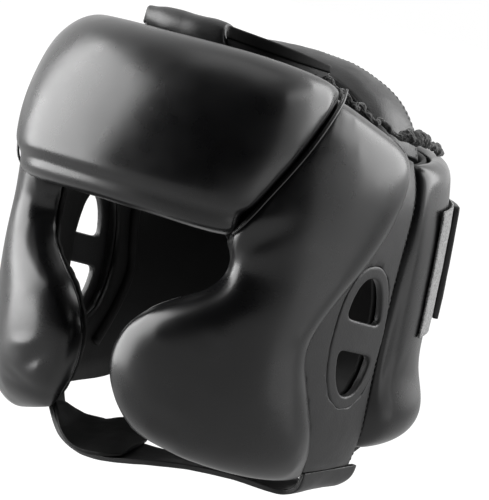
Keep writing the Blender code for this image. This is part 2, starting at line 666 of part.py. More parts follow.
def strap_frame(count, first=0.0, last=1.0):
    """Front edge, rear edge and downward normal along the strap."""
    rows = smooth_rows(STRAP_ROWS, np.linspace(first, last, count + 1))
    front, rear = rows[:, :3], rows[:, 3:]
    ahead = np.gradient((front + rear) / 2, axis=0)
    away = np.cross(ahead, front - rear)
    away /= np.linalg.norm(away, axis=1, keepdims=True)
    if away[len(away) // 2, 2] > 0:
        away = -away
    return front, rear, away


def build_strap():
    front, rear, away = strap_frame(STRAP["segments"])
    across = np.linspace(0, 1, STRAP["columns"] + 1)[None, :, None]
    top = front[:, None, :] + (rear - front)[:, None, :] * across
    return layered("chin_strap", top + away[:, None, :] * STRAP["thick"], top)


def build_cup():
    front, rear, away = strap_frame(CUP["segments"], CUP["from"], CUP["to"])
    share = np.linspace(0, 1, CUP["segments"] + 1)
    rows = np.array(CUP_ROWS)
    ahead = np.interp(share, rows[:, 0], rows[:, 1])[:, None]
    behind = np.interp(share, rows[:, 0], rows[:, 2])[:, None]
    along = (front - rear) / np.linalg.norm(front - rear, axis=1, keepdims=True)
    front, rear = front + along * ahead, rear - along * behind
    across = spaced(CUP["columns"], 0.4)[None, :, None]
    base = front[:, None, :] + (rear - front)[:, None, :] * across
    base = base - away[:, None, :] * CUP["off"]
    thick = CUP["thick"] * swell(across, 0.3, 0.45) * swell(1 - across, 0.3, 0.45)
    ends = (swell(share, 0.2, 0.5) * swell(1 - share, 0.2, 0.5))[:, None, None]
    return layered("chin_cup", base, base - away[:, None, :] * thick * ends)


def main():
    clear_scene()
    build_forehead()
    cheek = build_cheek()
    hang(mirrored("cheek_pad_right", cheek))
    panel = build_panel()
    cut(panel, add_solid("cutter", *ear_loop(1)))
    mirrored("ear_panel_right", panel)
    guard = build_guard()
    mirrored("ear_guard_right", guard)
    rear = build_rear()
    mirrored("rear_pad_right", rear)
    build_rear_cover("rear_loop_patch", PATCH, REAR_FACE, 7, 5)
    build_rear_cover("rear_closure_flap", FLAP, REAR_FACE + PATCH["thick"] + 2 * GAP, 12, 4)
    build_lining()
    build_bands()
    build_lace("crown_lace_left", 1, LACE["left"])
    build_lace("crown_lace_right", -1, LACE["right"])
    mirrored("seam_piping_right", build_piping())
    build_strap()
    build_cup()


main()
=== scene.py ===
import json
import math

import bmesh
import bpy
from mathutils import Matrix, Vector, noise
from mathutils.bvhtree import BVHTree


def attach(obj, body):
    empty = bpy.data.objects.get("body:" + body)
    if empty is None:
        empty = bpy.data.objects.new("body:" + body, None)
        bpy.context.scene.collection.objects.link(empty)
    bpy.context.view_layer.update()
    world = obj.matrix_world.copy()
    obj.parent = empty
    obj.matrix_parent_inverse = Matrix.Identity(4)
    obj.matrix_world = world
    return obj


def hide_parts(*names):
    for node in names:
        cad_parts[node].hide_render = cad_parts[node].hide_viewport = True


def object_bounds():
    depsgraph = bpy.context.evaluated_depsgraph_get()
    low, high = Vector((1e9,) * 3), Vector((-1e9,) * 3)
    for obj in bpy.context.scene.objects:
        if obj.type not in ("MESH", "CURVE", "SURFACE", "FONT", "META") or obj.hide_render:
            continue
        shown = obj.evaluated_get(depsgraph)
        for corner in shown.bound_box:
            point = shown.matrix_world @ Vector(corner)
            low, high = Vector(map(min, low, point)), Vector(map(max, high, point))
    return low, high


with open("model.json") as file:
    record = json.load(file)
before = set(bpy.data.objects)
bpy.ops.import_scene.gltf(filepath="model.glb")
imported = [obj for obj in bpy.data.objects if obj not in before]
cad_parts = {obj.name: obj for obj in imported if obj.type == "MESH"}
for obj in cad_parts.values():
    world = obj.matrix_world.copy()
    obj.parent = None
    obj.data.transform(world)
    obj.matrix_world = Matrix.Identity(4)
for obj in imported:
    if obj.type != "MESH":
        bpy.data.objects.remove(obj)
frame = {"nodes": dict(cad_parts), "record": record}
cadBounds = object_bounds()
scene = bpy.context.scene

# Camera: the photograph's viewing angle, as turns round the head and a scale on the picture
view = {
    "azimuth": 33.108, "elevation": 9.627, "roll": 11.068,      # degrees
    "distance": 1.4, "pixelsPerMetre": 1938.0,
    "target": (0.0, -0.008, -0.119), "targetPixel": (218.389, 292.496),
    "picture": (489.0, 500.0), "sensor": 36.0,
}


def viewAxes():
    turn, rise, roll = (math.radians(view[key]) for key in ("azimuth", "elevation", "roll"))
    back = Vector((math.sin(turn) * math.cos(rise), -math.cos(turn) * math.cos(rise), math.sin(rise)))
    level = Vector((math.cos(turn), math.sin(turn), 0.0))
    upright = back.cross(level)
    right = level * math.cos(roll) + upright * math.sin(roll)
    up = upright * math.cos(roll) - level * math.sin(roll)
    return right, up, back


def setCamera():
    right, up, back = viewAxes()
    width, height = view["picture"]
    across = (view["targetPixel"][0] - width / 2) / view["pixelsPerMetre"]
    down = (view["targetPixel"][1] - height / 2) / view["pixelsPerMetre"]
    place = Vector(view["target"]) + back * view["distance"] - right * across + up * down
    lens = bpy.data.cameras.new("camera")
    lens.sensor_width = view["sensor"]
    lens.lens = view["pixelsPerMetre"] * view["distance"] * view["sensor"] / max(width, height)
    lens.clip_start = 0.01
    camera = bpy.data.objects.new("camera", lens)
    scene.collection.objects.link(camera)
    turned = Matrix((right, up, back)).transposed().to_4x4()
    camera.matrix_world = Matrix.Translation(place) @ turned
    scene.camera = camera


setCamera()
print("camera set")

studio = {
    "floorDrop": 0.30, "floorSize": 12.0, "floorColour": (0.10, 0.10, 0.10),
    "floorGlow": 0.96, "floorBounce": 0.52,      # how bright the floor looks, and how much light it gives
    "backdrop": 1.0, "behind": 1.15, "beside": 0.30, "front": 0.012,      # brightness of the sky
}
# name, degrees right of the camera, degrees up, distance, width, height, brightness
lamps = [
    ("leftSoftbox", -92.0, 12.0, 1.15, 1.15, 1.50, 7.6),
    ("rightSoftbox", 104.0, 34.0, 1.15, 1.10, 1.00, 5.4),
    ("rightFill", 68.0, 2.0, 1.15, 0.80, 1.60, 0.95),
    ("topSoftbox", -20.0, 88.0, 1.30, 0.90, 0.60, 1.3),
]


def softbox(name, turn, rise, distance, width, height, brightness):
    turn, rise = math.radians(view["azimuth"] + turn), math.radians(rise)
    centre = Vector(view["target"])
    toward = Vector((math.sin(turn) * math.cos(rise), -math.cos(turn) * math.cos(rise), math.sin(rise)))
    lamp = bpy.data.lights.new(name, "AREA")
    lamp.shape = "RECTANGLE"
    lamp.size = width
    lamp.size_y = height
    lamp.energy = brightness * math.pi * width * height
    holder = bpy.data.objects.new(name, lamp)
    scene.collection.objects.link(holder)
    holder.location = centre + toward * distance
    holder.rotation_euler = toward.to_track_quat("Z", "Y").to_euler()


def setStudio():
    for lamp in lamps:
        softbox(*lamp)
    sky = bpy.data.worlds.new("studioSky")
    scene.world = sky
    sky.use_nodes = True
    nodes, links = sky.node_tree.nodes, sky.node_tree.links
    nodes.clear()
    output = nodes.new("ShaderNodeOutputWorld")
    mix = nodes.new("ShaderNodeMixShader")
    seen = nodes.new("ShaderNodeLightPath")
    ambient = nodes.new("ShaderNodeBackground")
    backdrop = nodes.new("ShaderNodeBackground")
    direction = nodes.new("ShaderNodeTexCoord")
    facing = nodes.new("ShaderNodeVectorMath")
    facing.operation = "DOT_PRODUCT"
    facing.inputs[1].default_value = viewAxes()[2]
    ramp = nodes.new("ShaderNodeFloatCurve")
    curve = ramp.mapping.curves[0]
    for place, key in ((0.0, "behind"), (0.25, "behind"), (0.55, "beside"), (0.80, "front")):
        curve.points.new(place, studio[key] / 2)
    curve.points[0].location = (0.0, studio["behind"] / 2)
    curve.points[-1].location = (1.0, studio["front"] / 2)
    ramp.mapping.update()
    spread = nodes.new("ShaderNodeMapRange")
    spread.inputs["From Min"].default_value = -1.0
    double = nodes.new("ShaderNodeMath")
    double.operation = "MULTIPLY"
    double.inputs[1].default_value = 2.0
    links.new(direction.outputs["Generated"], facing.inputs[0])
    links.new(facing.outputs["Value"], spread.inputs["Value"])
    links.new(spread.outputs["Result"], ramp.inputs["Value"])
    links.new(ramp.outputs["Value"], double.inputs[0])
    links.new(double.outputs["Value"], ambient.inputs["Strength"])
    backdrop.inputs["Color"].default_value = (1, 1, 1, 1)
    backdrop.inputs["Strength"].default_value = studio["backdrop"]
    ambient.inputs["Color"].default_value = (1, 1, 1, 1)
    links.new(seen.outputs["Is Camera Ray"], mix.inputs["Fac"])
    links.new(ambient.outputs[0], mix.inputs[1])
    links.new(backdrop.outputs[0], mix.inputs[2])
    links.new(mix.outputs[0], output.inputs["Surface"])
    scene.view_settings.view_transform = "Standard"


setStudio()
print("studio set")


# Materials
def newMaterial(name, slotColour, roughness, sheen=0.0, specular=0.5):
    material = bpy.data.materials.new(name)
    material.use_nodes = True
    shader = material.node_tree.nodes["Principled BSDF"]
    shader.inputs["Base Color"].default_value = (*slotColour, 1.0)
    shader.inputs["Roughness"].default_value = roughness
    shader.inputs["Sheen Weight"].default_value = sheen
    shader.inputs["Specular IOR Level"].default_value = specular
    return material, material.node_tree.nodes, material.node_tree.links, shader


def noiseNode(nodes, links, scale, detail=2.0, stretch=(1, 1, 1)):
    place = nodes.new("ShaderNodeTexCoord")
    turn = nodes.new("ShaderNodeMapping")
    turn.inputs["Scale"].default_value = stretch
    links.new(place.outputs["Object"], turn.inputs["Vector"])
    texture = nodes.new("ShaderNodeTexNoise")
    texture.inputs["Scale"].default_value = scale
    texture.inputs["Detail"].default_value = detail
    links.new(turn.outputs["Vector"], texture.inputs["Vector"])
    return texture


def rangeNode(nodes, links, source, low, high, fromLow=0.3, fromHigh=0.7):
    span = nodes.new("ShaderNodeMapRange")
    span.inputs["From Min"].default_value = fromLow
    span.inputs["From Max"].default_value = fromHigh
    span.inputs["To Min"].default_value = low
    span.inputs["To Max"].default_value = high
    links.new(source, span.inputs["Value"])
    return span.outputs["Result"]


def bumpNode(nodes, links, height, strength, distance, below=None):
    bump = nodes.new("ShaderNodeBump")
    bump.inputs["Strength"].default_value = strength
    bump.inputs["Distance"].default_value = distance
    links.new(height, bump.inputs["Height"])
    if below is not None:
        links.new(below, bump.inputs["Normal"])
    return bump.outputs["Normal"]


def colourMix(nodes, links, amount, dark, light):
    ramp = nodes.new("ShaderNodeValToRGB")
    ramp.color_ramp.elements[0].position = 0.35
    ramp.color_ramp.elements[1].position = 0.70
    ramp.color_ramp.elements[0].color = (*dark, 1.0)
    ramp.color_ramp.elements[1].color = (*light, 1.0)
    links.new(amount, ramp.inputs["Fac"])
    return ramp.outputs["Color"]


def leather(name, dark, light, rough, pore, poreDepth, creaseDepth, specular=0.5):
    material, nodes, links, shader = newMaterial(name, dark, rough[0], specular=specular)
    cloud = noiseNode(nodes, links, 22.0, 3.0)
    links.new(colourMix(nodes, links, cloud.outputs["Fac"], dark, light), shader.inputs["Base Color"])
    wear = noiseNode(nodes, links, 60.0, 4.0)
    links.new(rangeNode(nodes, links, wear.outputs["Fac"], *rough), shader.inputs["Roughness"])
    crease = noiseNode(nodes, links, 90.0, 5.0)
    soft = bumpNode(nodes, links, crease.outputs["Fac"], 0.5, creaseDepth)
    place = nodes.new("ShaderNodeTexCoord")
    cells = nodes.new("ShaderNodeTexVoronoi")
    cells.inputs["Scale"].default_value = pore
    links.new(place.outputs["Object"], cells.inputs["Vector"])
    fine = bumpNode(nodes, links, cells.outputs["Distance"], 0.6, poreDepth, soft)
    links.new(fine, shader.inputs["Normal"])
    return material


def fabric(name, dark, light, threads, depth):
    material, nodes, links, shader = newMaterial(name, dark, 0.85, sheen=0.25)
    cloud = noiseNode(nodes, links, threads, 3.0)
    links.new(colourMix(nodes, links, cloud.outputs["Fac"], dark, light), shader.inputs["Base Color"])
    links.new(bumpNode(nodes, links, cloud.outputs["Fac"], 0.9, depth), shader.inputs["Normal"])
    return material


smoothLeather = leather("smoothLeather", (0.0022, 0.0022, 0.0025), (0.0040, 0.0040, 0.0044),
                        (0.25, 0.33), 1500.0, 0.00002, 0.00007)
grainedLeather = leather("grainedLeather", (0.0040, 0.0040, 0.0044), (0.0090, 0.0090, 0.0095),
                         (0.40, 0.54), 1100.0, 0.00009, 0.0005)
liningLeather = leather("liningLeather", (0.0015, 0.0015, 0.0015), (0.0030, 0.0030, 0.0030),
                        (0.55, 0.66), 900.0, 0.00006, 0.0004, 0.2)
laceFabric = fabric("laceFabric", (0.004, 0.004, 0.004), (0.022, 0.022, 0.022), 1100.0, 0.0006)
loopFabric = fabric("loopFabric", (0.08, 0.08, 0.08), (0.30, 0.30, 0.30), 900.0, 0.0008)
finishes = {"smooth_leather": smoothLeather, "grained_leather": grainedLeather,
            "lining_leather": liningLeather, "lace_fabric": laceFabric, "loop_fabric": loopFabric}
slots = {row["node"]: row["material_slot"] for row in frame["record"]["subparts"]}
print("materials made")


# The head inside: places are an angle round it in degrees (0 in front, 90 over the left ear) and a height
headForm = {
    "lift": 0.016, "dome": 0.084, "halfWidth": 0.081, "front": 0.100, "back": 0.103,
    "square": 2.3, "fullness": 0.70,
}
# depth below the crown, half width, front and back as shares
jawLevels = [
    (0.084, 1.000, 1.000, 1.000), (0.125, 1.000, 1.000, 1.000), (0.160, 0.985, 0.985, 1.000),
    (0.200, 0.955, 0.955, 1.000), (0.250, 0.900, 0.900, 0.980),
]


# Value of a column at a place in a table that runs up by its first column
def alongTable(table, place, column):
    if place <= table[0][0]:
        return table[0][column]
    for first, second in zip(table, table[1:]):
        if place <= second[0]:
            share = (place - first[0]) / (second[0] - first[0])
            return first[column] + (second[column] - first[column]) * share
    return table[-1][column]


def headLevel(height):
    depth = min(max(-height, 0.00001), 0.249)
    rise = max(1 - depth / headForm["dome"], 0.0)
    share = (1 - rise ** 2) ** (headForm["fullness"] / 2) if rise > 0 else 1.0
    return [headForm[key] * share * alongTable(jawLevels, depth, column)
            for column, key in ((1, "halfWidth"), (2, "front"), (3, "back"))]


def headWall(angle, height):
    half, front, back = headLevel(height)
    turn = math.radians(angle)
    east, north = math.sin(turn), -math.cos(turn)
    power = headForm["square"]
    depth = front if north < 0 else back
    reach = ((abs(east) / half) ** power + (abs(north) / depth) ** power) ** (-1 / power)
    return Vector((reach * east, reach * north, height + headForm["lift"]))


def headSkin(angle, height, offset):
    along = headWall(angle + 0.5, height) - headWall(angle - 0.5, height)
    upward = headWall(angle, height + 0.001) - headWall(angle, height - 0.001)
    normal = along.cross(upward).normalized()
    return headWall(angle, height) + normal * offset


# Angle, height and distance out from the inside wall
def headPlace(point):
    angle = math.degrees(math.atan2(point.x, -point.y))
    height = min(point.z - headForm["lift"], -0.0005)
    wall = headWall(angle, height)
    return angle, height, math.hypot(point.x, point.y) - math.hypot(wall.x, wall.y)


# Pieces
joining = {"distance": 0.00002, "faceAngle": 60.0, "shapeAngle": 100.0, "sharpAngle": 50.0, "crisp": 0.8}


def pieceCopy(node):
    bm = bmesh.new()
    bm.from_mesh(frame["nodes"][node].data)
    bmesh.ops.remove_doubles(bm, verts=bm.verts, dist=joining["distance"])
    bmesh.ops.join_triangles(bm, faces=bm.faces, angle_face_threshold=math.radians(joining["faceAngle"]),
                             angle_shape_threshold=math.radians(joining["shapeAngle"]))
    return bm


# Keeps the edges of a cut sheet crisp when it is rounded
def creased(bm, amount):
    layer = bm.edges.layers.float.new("crease_edge")
    for edge in bm.edges:
        if edge.is_manifold and edge.calc_face_angle() > math.radians(joining["sharpAngle"]):
            edge[layer] = amount
    return bm


def toPiece(bm, name, slotName):
    mesh = bpy.data.meshes.new(name)
    bmesh.ops.recalc_face_normals(bm, faces=bm.faces)
    bm.to_mesh(mesh)
    bm.free()
    return meshPiece(mesh, name, slotName)


def meshPiece(mesh, name, slotName):
    mesh.shade_smooth()
    mesh.materials.clear()
    mesh.materials.append(finishes[slotName])
    piece = bpy.data.objects.new(name, mesh)
    scene.collection.objects.link(piece)
    return piece


# Applies the modifiers of a piece to its mesh
def settled(piece):
    bpy.context.view_layer.update()
    graph = bpy.context.evaluated_depsgraph_get()
    shaped = bpy.data.meshes.new_from_object(piece.evaluated_get(graph))
    piece.modifiers.clear()
    piece.data = shaped
    shaped.shade_smooth()
    return piece


def rounded(piece, levels, keep=False):
    rounding = piece.modifiers.new("rounding", "SUBSURF")
    rounding.levels = levels
    rounding.render_levels = levels
    return piece if keep else settled(piece)


def worn(piece, *nodes):
    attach(piece, "root")
    if nodes:
        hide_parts(*nodes)
    return piece


def surfaceOf(*chosen):
    bm = bmesh.new()
    bpy.context.view_layer.update()
    graph = bpy.context.evaluated_depsgraph_get()
    for piece in chosen:
        mesh = piece.evaluated_get(graph).to_mesh()
        bm.from_mesh(mesh)
        piece.evaluated_get(graph).to_mesh_clear()
    tree = BVHTree.FromBMesh(bm)
    bm.free()
    return tree


# Pads: blown up a little by cloth pressure, then pressed with the dents and folds of the real ones
padding = {
    "levels": 2, "pressure": 4.0, "frames": 20, "mostOut": 0.0020, "heldDepth": 0.0060,
    "stiffness": 12.0, "bending": 1.2, "mass": 0.25, "waveDepth": 0.00030, "waves": 38.0, "fill": 0.8,
    "outerFace": 0.018,      # usual distance of a pad's outer face from the inside wall
}
# pad, angle, height, half length, half width, turn of its length from level, depth
dents = [
    ("cheek_pad_left", 37.0, -0.0850, 0.0130, 0.0045, 35.0, 0.0016),
    ("cheek_pad_left", 35.0, -0.0790, 0.0110, 0.0030, 20.0, -0.0007),
    ("cheek_pad_left", 24.0, -0.1800, 0.0140, 0.0050, -20.0, 0.0008),
    ("cheek_pad_right", -14.0, -0.1700, 0.0100, 0.0040, 40.0, 0.0016),
    ("cheek_pad_right", -20.0, -0.1830, 0.0120, 0.0036, -15.0, 0.0014),
    ("cheek_pad_right", -17.0, -0.1640, 0.0090, 0.0030, 15.0, -0.0009),
    ("rear_pad_left", 103.0, -0.1300, 0.0040, 0.0500, 0.0, 0.0012),
    ("rear_pad_right", -112.0, -0.0900, 0.0160, 0.0070, 25.0, 0.0010),
    ("rear_pad_left", 124.0, -0.1790, 0.0380, 0.0140, 0.0, -0.0045),
    ("rear_pad_right", -124.0, -0.1790, 0.0380, 0.0140, 0.0, -0.0045),
]
browFold = {"up": 0.0125, "width": 0.0040, "depth": 0.0022, "lip": 0.0009, "lipUp": 0.0052,
            "fromAngle": 62.0}
# angle, height of the brow
browLine = [(0, -0.0845), (15, -0.0850), (30, -0.0880), (45, -0.0900), (60, -0.0900)]


def puffed(piece):
    mesh = piece.data
    start = [vertex.co.copy() for vertex in mesh.vertices]
    held = piece.vertex_groups.new(name="held")
    back = [vertex.index for vertex in mesh.vertices if headPlace(vertex.co)[2] < padding["heldDepth"]]
    held.add(back, 1.0, "ADD")
    cloth = piece.modifiers.new("puff", "CLOTH")
    cloth.settings.vertex_group_mass = "held"
    cloth.settings.mass = padding["mass"]
    cloth.settings.tension_stiffness = padding["stiffness"]
    cloth.settings.compression_stiffness = padding["stiffness"]
    cloth.settings.bending_stiffness = padding["bending"]
    cloth.settings.use_pressure = True
    cloth.settings.uniform_pressure_force = padding["pressure"]
    cloth.settings.effector_weights.gravity = 0.0
    cloth.collision_settings.use_collision = False
    for step in range(1, padding["frames"] + 1):
        scene.frame_set(step)
    graph = bpy.context.evaluated_depsgraph_get()
    blown = piece.evaluated_get(graph).to_mesh()
    moved = [vertex.co.copy() for vertex in blown.vertices]
    piece.evaluated_get(graph).to_mesh_clear()
    piece.modifiers.clear()
    piece.vertex_groups.clear()
    scene.frame_set(1)
    for vertex, before, after in zip(mesh.vertices, start, moved):
        step = after - before
        if step.length > padding["mostOut"]:
            step *= padding["mostOut"] / step.length
        vertex.co = before + step
    return piece


# Moves the outer face along its normals by the dents, the brow fold and a slow wave
def pressedIn(piece, node):
    mesh = piece.data
    marks = []
    for pad, angle, height, length, width, turn, depth in dents:
        if pad == node:
            centre = headSkin(angle, height, padding["outerFace"])
            outward = (centre - headSkin(angle, height, 0.0)).normalized()
            level = Vector((0, 0, 1)).cross(outward).normalized()
            rise = outward.cross(level)
            spin = math.radians(turn)
            marks.append((centre, level * math.cos(spin) + rise * math.sin(spin),
                          rise * math.cos(spin) - level * math.sin(spin), length, width, depth))
    normals = [vertex.normal.copy() for vertex in mesh.vertices]
    for vertex, normal in zip(mesh.vertices, normals):
        angle, height, out = headPlace(vertex.co)
        if out < padding["heldDepth"]:
            continue
        push = 0.0
        for centre, along, across, length, width, depth in marks:
            reach = vertex.co - centre
            spread = (reach.dot(along) / length) ** 2 + (reach.dot(across) / width) ** 2
            push -= depth * math.exp(-spread)
        if node == "forehead_pad" and abs(angle) < browFold["fromAngle"]:
            up = height - alongTable(browLine, abs(angle), 1)
            push -= browFold["depth"] * math.exp(-((up - browFold["up"]) / browFold["width"]) ** 2)
            push += browFold["lip"] * math.exp(-((up - browFold["lipUp"]) / browFold["width"]) ** 2)
        push += padding["waveDepth"] * noise.noise(vertex.co * padding["waves"])
        vertex.co += normal * push
    return piece


covers = {}
for node in ("forehead_pad", "cheek_pad_left", "cheek_pad_right", "rear_pad_left", "rear_pad_right"):
    pad = rounded(toPiece(pieceCopy(node), node + "_cover", slots[node]), padding["levels"])
    puffed(pad)
    pressedIn(pad, node)
    rounded(pad, 1, keep=True)
    covers[node] = worn(pad, node)
    print(node, "padded")

# Flat leather and fabric pieces over the CAD ones: rounding levels, depth and closeness of the crumples
fineWaves = {"share": 0.4, "times": 2.7}
flatPieces = {
    "ear_panel_left": (2, 0.00012, 60.0), "ear_panel_right": (2, 0.00012, 60.0),
    "rear_closure_flap": (2, 0.00040, 40.0), "rear_loop_patch": (2, 0.00025, 300.0),
    "lining": (1, 0.0, 1.0), "seam_piping_left": (2, 0.0, 1.0), "seam_piping_right": (2, 0.0, 1.0),
    "crown_band_long": (3, 0.00110, 42.0), "crown_band_cross": (3, 0.00045, 60.0),
    "crown_lace_left": (3, 0.00150, 260.0), "crown_lace_right": (3, 0.00150, 260.0),
    "chin_strap": (3, 0.00035, 60.0), "chin_cup": (3, 0.00045, 80.0),
}


def crumpled(piece, depth, waves):
    normals = [vertex.normal.copy() for vertex in piece.data.vertices]
    for vertex, normal in zip(piece.data.vertices, normals):
        finer = fineWaves["share"] * noise.noise(vertex.co * waves * fineWaves["times"])
        vertex.co += normal * depth * (noise.noise(vertex.co * waves) + finer)
    return piece


# The rear knots hang onto the pad's corner
knotSag = {"from": 84.0, "over": 10.0, "down": 0.0034, "out": 0.0014}


def sagged(piece):
    for vertex in piece.data.vertices:
        angle = abs(headPlace(vertex.co)[0])
        share = min(max((angle - knotSag["from"]) / knotSag["over"], 0.0), 1.0)
        outward = Vector((vertex.co.x, vertex.co.y, 0)).normalized()
        vertex.co += (outward * knotSag["out"] - Vector((0, 0, knotSag["down"]))) * share
    return piece


for node, (levels, depth, waves) in flatPieces.items():
    isCord = "lace" in node or "piping" in node
    sheet = creased(pieceCopy(node), 0.0 if isCord else joining["crisp"])
    cover = rounded(toPiece(sheet, node + "_cover", slots[node]), levels)
    if depth:
        crumpled(cover, depth, waves)
    if "lace" in node:
        sagged(cover)
    covers[node] = worn(cover, node)
print("flat pieces covered")


# Ear guards: an oval plate with two holes, cut and softened, then bent to the side of the head
earGuard = {
    "y": -0.0125, "z": -0.1340, "halfY": 0.0216, "halfZ": 0.0371, "square": 2.25, "rim": 0.0065,
    "bridge": 0.0080, "slope": -0.19, "corner": 7, "inner": 0.0070, "outer": 0.0110,
    "points": 96, "voxel": 0.00065, "soften": 3, "cutFrom": -0.01, "cutTo": 0.03,
    "farthest": 0.06, "halvings": 30,      # the search for a hole's edge
}


def guardReach(turn, halfY, halfZ):
    power = earGuard["square"]
    return (abs(math.cos(turn) / halfY) ** power + abs(math.sin(turn) / halfZ) ** power) ** (-1 / power)


# Reach of a hole's edge from its middle: along the rim's oval, cut off by the bridge
def holeReach(turn, upper):
    sign = 1 if upper else -1
    halfY, halfZ = earGuard["halfY"] - earGuard["rim"], earGuard["halfZ"] - earGuard["rim"]
    middle = (earGuard["bridge"] + halfZ) / 2
    c, s = math.cos(turn), math.sin(turn)
    low, high, power = 0.0, earGuard["farthest"], earGuard["square"]
    for _ in range(earGuard["halvings"]):
        reach = (low + high) / 2
        outside = abs(reach * c / halfY) ** power + abs((sign * middle + reach * s) / halfZ) ** power > 1
        low, high = (low, reach) if outside else (reach, high)
    toward = -sign * (s - earGuard["slope"] * c)
    straight = (middle - earGuard["bridge"]) / toward if toward > 0.000001 else 1.0
    corner = earGuard["corner"]
    return (low ** -corner + straight ** -corner) ** (-1 / corner)


def prismPiece(name, reaches, middle, first, last):
    bm = bmesh.new()
    made = bmesh.ops.create_circle(bm, cap_ends=True, segments=earGuard["points"], radius=1.0)
    for vertex in made["verts"]:
        turn = math.atan2(vertex.co.y, vertex.co.x)
        reach = reaches(turn)
        vertex.co = (first, reach * math.cos(turn), middle + reach * math.sin(turn))
    raised = bmesh.ops.extrude_face_region(bm, geom=bm.faces[:])
    corners = [item for item in raised["geom"] if isinstance(item, bmesh.types.BMVert)]
    bmesh.ops.translate(bm, verts=corners, vec=(last - first, 0, 0))
    return toPiece(bm, name, "grained_leather")


def makeGuard(name, side, node):
    halfZ = earGuard["halfZ"] - earGuard["rim"]
    middle = (earGuard["bridge"] + halfZ) / 2
    plate = prismPiece(name, lambda turn: guardReach(turn, earGuard["halfY"], earGuard["halfZ"]), 0.0,
                       earGuard["inner"], earGuard["outer"])
    for upper in (True, False):
        cutter = prismPiece("cutter", lambda turn: holeReach(turn, upper), middle if upper else -middle,
                            earGuard["cutFrom"], earGuard["cutTo"])
        hole = plate.modifiers.new("hole", "BOOLEAN")
        hole.operation = "DIFFERENCE"
        hole.solver = "EXACT"
        hole.object = cutter
        settled(plate)
        bpy.data.objects.remove(cutter, do_unlink=True)
    grid = plate.modifiers.new("grid", "REMESH")
    grid.mode = "VOXEL"
    grid.voxel_size = earGuard["voxel"]
    settled(plate)
    bm = bmesh.new()
    bm.from_mesh(plate.data)
    for _ in range(earGuard["soften"]):
        bmesh.ops.smooth_vert(bm, verts=bm.verts, factor=0.5, use_axis_x=True, use_axis_y=True,
                              use_axis_z=True)
    for vertex in bm.verts:
        y, z = vertex.co.y + earGuard["y"], vertex.co.z + earGuard["z"]
        half, front, back = headLevel(z)
        depth = front if y < 0 else back
        power = headForm["square"]
        wall = half * (1 - abs(y / depth) ** power) ** (1 / power)
        vertex.co = (side * (wall + vertex.co.x), y, z + headForm["lift"])
    if side < 0:
        bmesh.ops.reverse_faces(bm, faces=bm.faces)
    bm.to_mesh(plate.data)
    bm.free()
    plate.data.materials.clear()
    plate.data.materials.append(finishes["grained_leather"])
    plate.data.shade_smooth()
    return worn(plate, node)


covers["ear_guard_left"] = makeGuard("ear_guard_left_cover", 1, "ear_guard_left")
covers["ear_guard_right"] = makeGuard("ear_guard_right_cover", -1, "ear_guard_right")
print("ear guards made")


pathSteps = 12      # points between two given ones


# Even points on a smooth curve through the given ones
def smoothPath(points, count):
    ends = [points[0] * 2 - points[1], *points, points[-1] * 2 - points[-2]]
    fine = []
    for k in range(len(points) - 1):
        before, start, end, after = ends[k:k + 4]
        for j in range(pathSteps):
            t = j / pathSteps
            slope = end - before
            bend = 2 * before - 5 * start + 4 * end - after
            twist = 3 * start - before - 3 * end + after
            fine.append(0.5 * (2 * start + slope * t + bend * t * t + twist * t ** 3))
    fine.append(points[-1])
    lengths = [0.0]
    for first, second in zip(fine, fine[1:]):
        lengths.append(lengths[-1] + (second - first).length)
    even, k = [], 0
    for j in range(count):
        want = lengths[-1] * j / (count - 1)
        while k < len(fine) - 2 and lengths[k + 1] < want:
            k += 1
        span = max(lengths[k + 1] - lengths[k], 0.0000001)
        even.append(fine[k].lerp(fine[k + 1], min(max((want - lengths[k]) / span, 0.0), 1.0)))
    return even


# A smooth path on a surface, with the surface's normals
def laid(points, tree, lift, count):
    path = []
    for point in smoothPath(points, count):
        place, normal, _, _ = tree.find_nearest(point)
        path.append((place + normal * lift, normal))
    return path


# A thin tube along a path
def cordPiece(name, path, radius, slotName):
    curve = bpy.data.curves.new(name, "CURVE")
    curve.dimensions = "3D"
    curve.bevel_depth = radius
    curve.bevel_resolution = 2
    curve.use_fill_caps = True
    spline = curve.splines.new("POLY")
    spline.points.add(len(path) - 1)
    for knot, (place, _) in zip(spline.points, path):
        knot.co = (*place, 1.0)
    holder = bpy.data.objects.new(name, curve)
    scene.collection.objects.link(holder)
    bpy.context.view_layer.update()
    graph = bpy.context.evaluated_depsgraph_get()
    mesh = bpy.data.meshes.new_from_object(holder.evaluated_get(graph))
    bpy.data.objects.remove(holder, do_unlink=True)
    bm = bmesh.new()
    bm.from_mesh(mesh)
    bmesh.ops.remove_doubles(bm, verts=bm.verts, dist=0.000001)
    return worn(toPiece(bm, name, slotName))


stitches = {"length": 0.0021, "gap": 0.0011, "width": 0.00042, "height": 0.00030}


# A row of small stitches along a path
def stitchPiece(name, path, slotName):
    bm = bmesh.new()
    travelled, due = 0.0, 0.0
    for (first, normal), (second, _) in zip(path, path[1:]):
        step = (second - first).length
        while due <= travelled + step and step > 0:
            place = first.lerp(second, (due - travelled) / step)
            ahead = (second - first).normalized()
            side = normal.cross(ahead).normalized()
            turned = Matrix((ahead, side, ahead.cross(side))).transposed().to_4x4()
            size = Matrix.Diagonal((stitches["length"] / 2, stitches["width"], stitches["height"], 1.0))
            bmesh.ops.create_uvsphere(bm, u_segments=6, v_segments=4, radius=1.0,
                                      matrix=Matrix.Translation(place) @ turned @ size)
            due += stitches["length"] + stitches["gap"]
        travelled += step
    return worn(toPiece(bm, name, slotName))


# Seam between forehead and cheek: the bright edge of its piping, whose rings have 5 corners each
seamEdge = {"radius": 0.00070, "out": 0.0029, "count": 60, "ring": 5}


